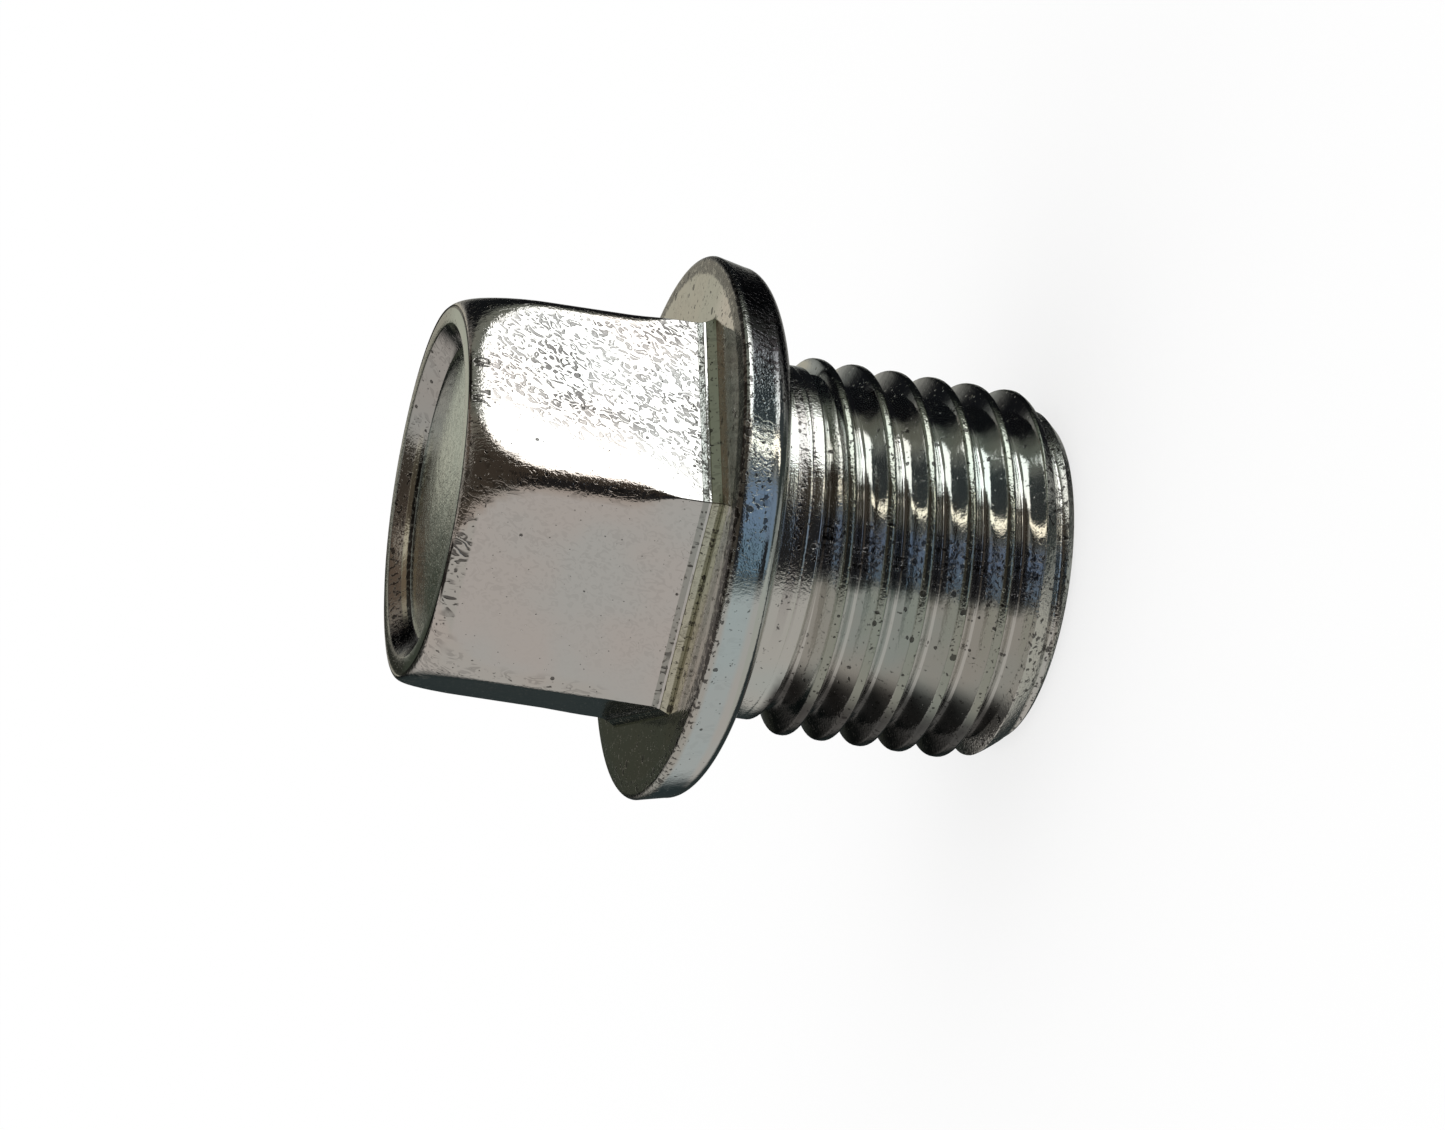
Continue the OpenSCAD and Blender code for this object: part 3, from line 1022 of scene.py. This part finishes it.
@dataclass(frozen=True)
class ZincCoat:
    """Bright zinc on forged steel, with a mottled skin, small pits and fine turning marks.

    Depths are in mm, and cells are counted in a metre. A stretch is a factor along each axis, and one under 1
    draws the marks out. Darkness is a mark's share of the dark colour of dirt and painted shade. The grime
    marks are dirt specks, and painted shade in the zones where the skin's table sets them high.
    """

    base: tuple[float, float, float] = (0.76, 0.76, 0.76)
    pink: tuple[float, float, float] = (1.0, 0.97, 0.955)
    green: tuple[float, float, float] = (0.955, 0.99, 0.995)
    # The dark colour of dirt, pits and strokes, which is also the colour of the painted shade.
    dirt_and_shade: tuple[float, float, float] = (0.026, 0.021, 0.022)
    drift: Pattern = Pattern(260.0, 2.0, low=0.36, high=0.64)
    smooth: float = 0.045
    rough: float = 0.09
    ripple: Pattern = Pattern(1300.0)
    ripple_depth: float = 0.01
    fine: Pattern = Pattern(9000.0)
    fine_depth: float = 0.006
    sand: Pattern = Pattern(17000.0)
    sand_depth: float = 0.004
    stroke: Pattern = Pattern(4600.0, 0.6, 0.8, 0.3, 0.74)
    stroke_gaps: Pattern = Pattern(4100.0, low=0.3, high=0.44)
    stroke_patches: Pattern = Pattern(420.0, 2.0, low=0.38, high=0.62)
    stroke_least: float = 0.7
    stroke_waves: float = 9.4
    stroke_slant: tuple[float, float, float] = (0.287, 0.497, 0.819)
    stroke_length: float = 0.55
    stroke_depth: float = 0.008
    stroke_dark: float = 0.85
    comb: Pattern = Pattern(3400.0, 0.6, 0.8, 0.3, 0.74)
    comb_gaps: Pattern = Pattern(1500.0, low=0.4, high=0.55)
    comb_stretch: tuple[float, float, float] = (1.0, 1.0, 0.4)
    comb_depth: float = 0.01
    comb_dark: float = 0.6
    turning: Pattern = Pattern(16000.0, 3.0)
    turning_stretch: tuple[float, float, float] = (0.05, 0.05, 1.0)
    turning_depth: float = 0.008
    # Grime marks: dirt specks, and painted shade where the skin's table sets them high.
    grime_and_shade: Pattern = Pattern(5400.0, 2.0, 0.4, -0.03, 0.05)
    grime_and_shade_depth: float = 0.006
    grime_and_shade_dark: float = 0.8
    pit_cells: tuple[float, float] = (2300.0, 6100.0)
    pit_chance: float = 0.72
    pit_reach: float = 0.26
    pit_edge: float = 0.06
    pit_depth: float = 0.03
    pit_dark: float = 0.75
    pit_rough: float = 0.2
    dent_cells: float = 4400.0
    dent_depth: float = 0.035

    def _strokes(self, bench: NodeBench, place: Socket, pattern: Pattern) -> Socket:
        """Gives 1 in thin crooked strokes and 0 between them.

        Args:
            bench: Where the nodes go.
            place: Where the pattern is read.
            pattern: The noise whose levels the strokes follow.

        Returns:
            The strokes' value.
        """
        level = bench.product(bench.noise(place, pattern), self.stroke_waves)
        wave = bench.math("ABSOLUTE", bench.math("SINE", level))
        return bench.math("SUBTRACT", 1.0, bench.step(wave, pattern.low, pattern.high))

    def _pits(self, bench: NodeBench, place: Socket, size: Socket, cells: float) -> Socket:
        """Gives 1 in scattered round pits and 0 between them.

        Args:
            bench: Where the nodes go.
            place: Where the pattern is read.
            size: How large and frequent the pits are.
            cells: Cells in a metre.

        Returns:
            The pits' value.
        """
        spots = bench.put("ShaderNodeTexVoronoi", {"Vector": place, "Scale": cells})
        chance = bench.put("ShaderNodeSeparateColor", {0: spots.outputs["Color"]}).outputs[0]
        reach = bench.product(bench.step(chance, self.pit_chance, 1.0), size, self.pit_reach)
        return bench.step(bench.math("SUBTRACT", reach, spots.outputs["Distance"]), 0.0, self.pit_edge)

    def _marks(self, bench: NodeBench, place: Socket, comb: Socket) -> Marks:
        """Lays out the marks, each as strong as the skin's table says.

        Args:
            bench: Where the nodes go.
            place: Where the patterns are read.
            comb: How combed the skin is.

        Returns:
            The marks.
        """
        table = bench.put("ShaderNodeAttribute", attribute_name="coat_marks")
        parts = bench.put("ShaderNodeSeparateColor", {0: table.outputs["Color"]})
        mottle, pits, streaks = parts.outputs[0], parts.outputs[1], parts.outputs[2]
        grain = table.outputs["Alpha"]
        grime_and_shade = bench.put("ShaderNodeAttribute", attribute_name="coat_grime_and_shade").outputs["Fac"]
        slanted = bench.drawn_out(place, self.stroke_slant, self.stroke_length)
        patches = bench.patches(place, self.stroke_patches)
        strength = bench.math("MULTIPLY_ADD", patches, 1.0 - self.stroke_least, self.stroke_least)
        gaps = bench.patches(place, self.stroke_gaps)
        strokes = bench.product(self._strokes(bench, slanted, self.stroke), mottle, gaps, strength)
        upright = bench.vector("MULTIPLY", place, self.comb_stretch).outputs[0]
        combed = bench.product(self._strokes(bench, upright, self.comb), comb)
        around = bench.vector("MULTIPLY", place, self.turning_stretch).outputs[0]
        above = bench.math("SUBTRACT", grime_and_shade, bench.noise(place, self.grime_and_shade))
        return Marks(
            fine=bench.product(bench.noise(place, self.fine), grain),
            sand=bench.product(bench.noise(place, self.sand), grain),
            strokes=strokes,
            combed=bench.product(combed, bench.patches(place, self.comb_gaps)),
            turned=bench.product(bench.noise(around, self.turning), streaks),
            dirt_and_shade=bench.step(above, self.grime_and_shade.low, self.grime_and_shade.high),
            holes=bench.largest(*(self._pits(bench, place, pits, cells) for cells in self.pit_cells)),
            dents=self._pits(bench, place, pits, self.dent_cells),
        )

    def _height(self, bench: NodeBench, place: Socket, marks: Marks) -> Socket:
        """Adds the marks' heights and depths up.

        Args:
            bench: Where the nodes go.
            place: Where the ripples are read.
            marks: The coat's marks.

        Returns:
            The height of the coat, in metres.
        """
        return bench.total(
            bench.product(bench.noise(place, self.ripple), self.ripple_depth * MM),
            bench.product(marks.fine, self.fine_depth * MM),
            bench.product(marks.sand, self.sand_depth * MM),
            bench.product(marks.strokes, -self.stroke_depth * MM),
            bench.product(marks.holes, -self.pit_depth * MM),
            bench.product(marks.dents, -self.dent_depth * MM),
            bench.product(marks.dirt_and_shade, -self.grime_and_shade_depth * MM),
            bench.product(marks.turned, self.turning_depth * MM),
            bench.product(marks.combed, -self.comb_depth * MM))

    def _colour(self, bench: NodeBench, place: Socket, tint: Socket, marks: Marks) -> Socket:
        """Mixes the zinc's colour: its drift from pink to green, the zones' tint and the dark marks. In some
        zones the tint and the grime marks are painted shade and painted reflections.

        Args:
            bench: Where the nodes go.
            place: Where the drift is read.
            tint: The tint from the skin's table.
            marks: The coat's marks.

        Returns:
            The colour.
        """
        colour = bench.mixed(bench.patches(place, self.drift), (*self.pink, 1.0), (*self.green, 1.0))
        colour = bench.mixed(1.0, colour, tint, "MULTIPLY")
        colour = bench.mixed(1.0, colour, (*self.base, 1.0), "MULTIPLY")
        dark = bench.largest(
            bench.product(marks.holes, self.pit_dark),
            bench.product(marks.strokes, self.stroke_dark),
            bench.product(marks.dirt_and_shade, self.grime_and_shade_dark),
            bench.product(marks.combed, self.comb_dark))
        return bench.mixed(dark, colour, (*self.dirt_and_shade, 1.0))

    def make(self) -> bpy.types.Material:
        """Builds the material.

        Returns:
            The new material.
        """
        made = bpy.data.materials.new("zinc_coat")
        made.use_nodes = True
        bench = NodeBench(made.node_tree)
        shader = made.node_tree.nodes["Principled BSDF"]
        place = bench.put("ShaderNodeTexCoord").outputs["Object"]
        tint = bench.put("ShaderNodeAttribute", attribute_name="coat_tint")
        marks = self._marks(bench, place, tint.outputs["Alpha"])
        height = self._height(bench, place, marks)
        relief = bench.put("ShaderNodeBump", {"Strength": 1.0, "Distance": 1.0, "Height": height})
        rough = bench.math("MULTIPLY_ADD", marks.fine, self.rough, self.smooth)
        rough = bench.math("MULTIPLY_ADD", marks.holes, self.pit_rough, rough)
        bench.feed(shader.inputs["Normal"], relief.outputs[0])
        bench.feed(shader.inputs["Base Color"], self._colour(bench, place, tint.outputs["Color"], marks))
        bench.feed(shader.inputs["Roughness"], rough)
        shader.inputs["Metallic"].default_value = 1.0
        return made


@dataclass
class DrainPlug:
    """The whole plug, one piece. The angle from which an edge is drawn sharp is in degrees."""

    head: HexHead = field(default_factory=HexHead)
    flange: Flange = field(default_factory=Flange)
    shank: ThreadedShank = field(default_factory=ThreadedShank)
    coat: ZincCoat = ZincCoat()
    sharp: float = 32.0

    def build(self) -> bpy.types.Object:
        """Makes the plug's skin, dresses it and puts it in the CAD node's place.

        Returns:
            The new object.
        """
        skin = Skin()
        self.head.grow(skin, self.flange.thickness)
        self.flange.grow(skin)
        self.shank.grow(skin)
        mesh = skin.mesh("plug_skin", self.sharp)
        plug = bpy.data.objects.new("plug_skin", mesh)
        bpy.context.scene.collection.objects.link(plug)
        mesh.materials.append(self.coat.make())
        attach(plug, "root")
        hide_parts(NODE)
        return plug


@dataclass
class PhotoCamera:
    """The camera that sees the plug as the photograph does.

    Its place, lens and sensor are in mm, its angles in degrees and its clips in metres.
    """

    place: tuple[float, float, float] = (54.7225, -132.5881, 36.4904)
    turn: tuple[float, float, float] = (30.0346, 73.3642, -36.0366)
    lens: float = 100.373
    sensor: float = 36.0
    clip_near: float = 0.001
    clip_far: float = 10.0

    def build(self) -> bpy.types.Object:
        """Makes the camera the scene's camera.

        Returns:
            The camera object.
        """
        data = bpy.data.cameras.new("photo_camera")
        data.lens = self.lens
        data.sensor_width = self.sensor
        data.clip_start = self.clip_near
        data.clip_end = self.clip_far
        camera = bpy.data.objects.new("photo_camera", data)
        camera.location = Vector(self.place) * MM
        camera.rotation_euler = Euler([math.radians(a) for a in self.turn], "XYZ")
        bpy.context.scene.collection.objects.link(camera)
        bpy.context.scene.camera = camera
        return camera


@dataclass(frozen=True)
class Panel:
    """One soft-edged panel of the tent round the plug. Angles in degrees.

    The angle around is 0 at the photograph's top, 90 toward its camera and 180 at its bottom. The height is
    the angle over the flange's plane, toward the head. The tone, from 0 to 255, is what the coat is to show.
    """

    name: str
    around: tuple[float, float]
    height: tuple[float, float]
    tone: tuple[int, int, int]
    soft: tuple[float, float] = (8.0, 8.0)
    glow: float = 1.32

    def cover(self, around: np.ndarray, height: np.ndarray) -> np.ndarray:
        """Says how much of this panel is seen in each direction.

        Args:
            around: Angles round the plug, in degrees.
            height: Angles over the flange's plane, in degrees.

        Returns:
            Shares from 0 to 1.
        """
        left, right = self.around
        low, high = self.height
        side = plateau(angle_from((left + right) / 2, around), (right - left) / 2, self.soft[0])
        return side * plateau(height - (low + high) / 2, (high - low) / 2, self.soft[1])

    def light(self) -> np.ndarray:
        """Gives the panel's light: its tone, taken back from the screen's sRGB curve, times its glow."""
        share = np.array(self.tone) / 255
        return np.where(share <= 0.04045, share / 12.92, ((share + 0.055) / 1.055) ** 2.4) * self.glow


@dataclass
class Tent:
    """The tent of grey, dark and white panels that the bright metal mirrors.

    Its radius is in metres. The photograph's top is an angle from the plug's x axis, in degrees.
    """

    radius: float = 0.7
    columns: int = 360
    rows: int = 180
    top_of_photo: float = 22.856
    ground: Panel = Panel("ground", (0, 360), (-90, 90), (142, 142, 137))
    panels: tuple[Panel, ...] = (
        Panel("grey_lower_side", (115, 250), (-90, 72), (160, 156, 151), (5, 8)),
        Panel("grey_under_lower_side", (112, 225), (-90, -46), (154, 153, 145), (8, 10)),
        Panel("brown_lower_edge", (108, 140), (38, 90), (77, 74, 67), (16, 12)),
        Panel("shade_far_low_side", (226, 268), (-90, 10), (38, 44, 44), (20, 18)),
        Panel("black_far_low_side", (244, 268), (-4, 50), (20, 22, 21), (18, 16)),
        Panel("grey_top_side", (-26, 30), (-34, 60), (104, 106, 98), (20, 8)),
        Panel("dark_top_side", (2, 62), (-90, -30), (56, 60, 61), (20, 6)),
        Panel("brown_camera_side", (30, 112), (-20, 72), (58, 53, 47), (24, 12)),
        Panel("black_camera_side", (64, 112), (-60, 4), (30, 30, 31), (14, 14)),
        Panel("bluish_camera_side", (63, 88), (-60, -28), (106, 119, 136), (8, 8)),
        Panel("bluish_rim_side", (86, 106), (-60, -36), (106, 121, 132), (10, 6)),
        Panel("white_lamp", (-5, 37), (-29, -14.5), (255, 255, 251), (6, 3), 2.1),
        Panel("white_lamp_head", (-5, 31), (-15.5, -4), (255, 255, 251), (6, 4), 2.1),
        Panel("white_lamp_top", (20, 30), (-12, 6), (255, 255, 251), (6, 8), 2.1),
        Panel("warm_lamp", (42, 49), (-54, -26), (255, 246, 226), (3, 8), 2.4),
        Panel("black_far_top", (288, 340), (-60, 38), (17, 18, 20), (14, 18)),
        Panel("brown_far_top", (286, 352), (42, 74), (84, 76, 68), (16, 10)),
        Panel("dark_over_head", (0, 360), (73, 120), (58, 54, 49), (8, 6)),
        Panel("olive_far_side", (270, 283), (-2, 30), (160, 157, 144), (1.5, 10)),
        Panel("dark_far_side", (258, 270), (-2, 30), (55, 57, 49), (1.5, 10)),
        Panel("dark_under", (-60, 100), (-78, -62), (46, 50, 48), (16, 8)),
        Panel("grey_under", (0, 360), (-120, -80), (122, 122, 116), (8, 6)),
    )

    def light(self, around: np.ndarray, height: np.ndarray) -> np.ndarray:
        """Gives the tent's light in each direction.

        Args:
            around: Angles round the plug, in degrees.
            height: Angles over the flange's plane, in degrees.

        Returns:
            Red, green and blue, one row for each direction.
        """
        made = np.tile(self.ground.light(), (len(around), 1))
        for panel in self.panels:
            made = made + (panel.light() - made) * panel.cover(around, height)[:, None]
        return made

    def _mesh(self) -> bpy.types.Mesh:
        """Makes the tent's sphere, with the panels' light at each of its points.

        Returns:
            The mesh, in metres.
        """
        levels = np.radians(np.linspace(-90, 90, self.rows + 1))
        turns = np.radians(np.arange(self.columns) * 360 / self.columns)
        height, turn = (grid.ravel() for grid in np.meshgrid(levels, turns, indexing="ij"))
        points = ring(np.cos(height), turn, np.sin(height)) * self.radius
        faces = []
        for low in range(0, self.rows * self.columns, self.columns):
            high = low + self.columns
            for i in range(self.columns):
                j = (i + 1) % self.columns
                faces.append((low + i, low + j, high + j, high + i))
        made = bpy.data.meshes.new("studio_tent")
        made.from_pydata(points.tolist(), [], faces)
        lights = self.light(self.top_of_photo - np.degrees(turn), np.degrees(height))
        colours = made.attributes.new("panel_light", "FLOAT_COLOR", "POINT")
        colours.data.foreach_set("color", np.column_stack((lights, np.ones(len(lights)))).ravel())
        return made

    def _glow(self) -> bpy.types.Material:
        """Makes the material that gives off the panels' light.

        Returns:
            The new material.
        """
        made = bpy.data.materials.new("studio_tent")
        made.use_nodes = True
        made.node_tree.nodes.clear()
        bench = NodeBench(made.node_tree)
        light = bench.put("ShaderNodeAttribute", attribute_name="panel_light")
        glow = bench.put("ShaderNodeEmission", {"Color": light.outputs["Color"]})
        bench.put("ShaderNodeOutputMaterial", {"Surface": glow.outputs["Emission"]})
        made.cycles.emission_sampling = "NONE"
        return made

    def build(self) -> bpy.types.Object:
        """Makes the tent, seen by the metal's mirror rays alone.

        Returns:
            The tent.
        """
        mesh = self._mesh()
        mesh.materials.append(self._glow())
        tent = bpy.data.objects.new("studio_tent", mesh)
        bpy.context.scene.collection.objects.link(tent)
        tent.visible_camera = False
        tent.visible_diffuse = False
        tent.visible_shadow = False
        return tent


@dataclass
class Studio:
    """The white floor and the plain white light over it. The floor's size is in metres."""

    floor_size: float = 4.0
    floor_colour: float = 0.3
    white: tuple[float, float, float, float] = (1.0, 1.0, 1.0, 1.0)

    def _floor_coat(self) -> bpy.types.Material:
        """Makes the floor white where nothing shades it.

        Returns:
            The new material.
        """
        made = bpy.data.materials.new("studio_floor")
        made.use_nodes = True
        bench = NodeBench(made.node_tree)
        shader = made.node_tree.nodes["Principled BSDF"]
        shader.inputs["Base Color"].default_value = (*[self.floor_colour] * 3, 1.0)
        shader.inputs["Roughness"].default_value = 1.0
        shader.inputs["Specular IOR Level"].default_value = 0.0
        shader.inputs["Emission Color"].default_value = self.white
        rays = bench.put("ShaderNodeLightPath").outputs
        seen = bench.largest(*(rays[f"Is {kind} Ray"] for kind in ("Camera", "Glossy", "Transmission")))
        bench.feed(shader.inputs["Emission Strength"], bench.product(seen, 1.0 - self.floor_colour))
        return made

    def build(self, floor_height: float) -> bpy.types.Object:
        """Makes the floor and the world.

        Args:
            floor_height: Height of the floor, in mm.

        Returns:
            The floor.
        """
        mesh = bpy.data.meshes.new("studio_floor")
        half = self.floor_size / 2
        corners = [(x * half, y * half, floor_height * MM) for x, y in ((-1, -1), (1, -1), (1, 1), (-1, 1))]
        mesh.from_pydata(corners, [], [(0, 1, 2, 3)])
        mesh.materials.append(self._floor_coat())
        floor = bpy.data.objects.new("studio_floor", mesh)
        bpy.context.scene.collection.objects.link(floor)
        floor.visible_glossy = False
        world = bpy.data.worlds.new("studio_world")
        world.use_nodes = True
        world.node_tree.nodes["Background"].inputs["Color"].default_value = self.white
        bpy.context.scene.world = world
        return floor


def main() -> None:
    """Builds the plug, the camera and the studio, and reports each."""
    logging.basicConfig(level=logging.INFO, format="%(name)s: %(message)s")
    bpy.context.scene.view_settings.view_transform = "Standard"
    plug = DrainPlug()
    skin = plug.build()
    triangles = sum(len(face.vertices) - 2 for face in skin.data.polygons)
    LOG.info("%s: %d triangles", skin.name, triangles)
    camera = PhotoCamera().build()
    LOG.info("%s: lens %.1f mm", camera.name, camera.data.lens)
    floor = Studio().build(-plug.shank.length)
    LOG.info("%s: %.1f mm below the seat", floor.name, plug.shank.length)
    tent = Tent().build()
    LOG.info("%s: %s", tent.name, ", ".join(panel.name for panel in Tent.panels))


if __name__ == "__main__":
    main()
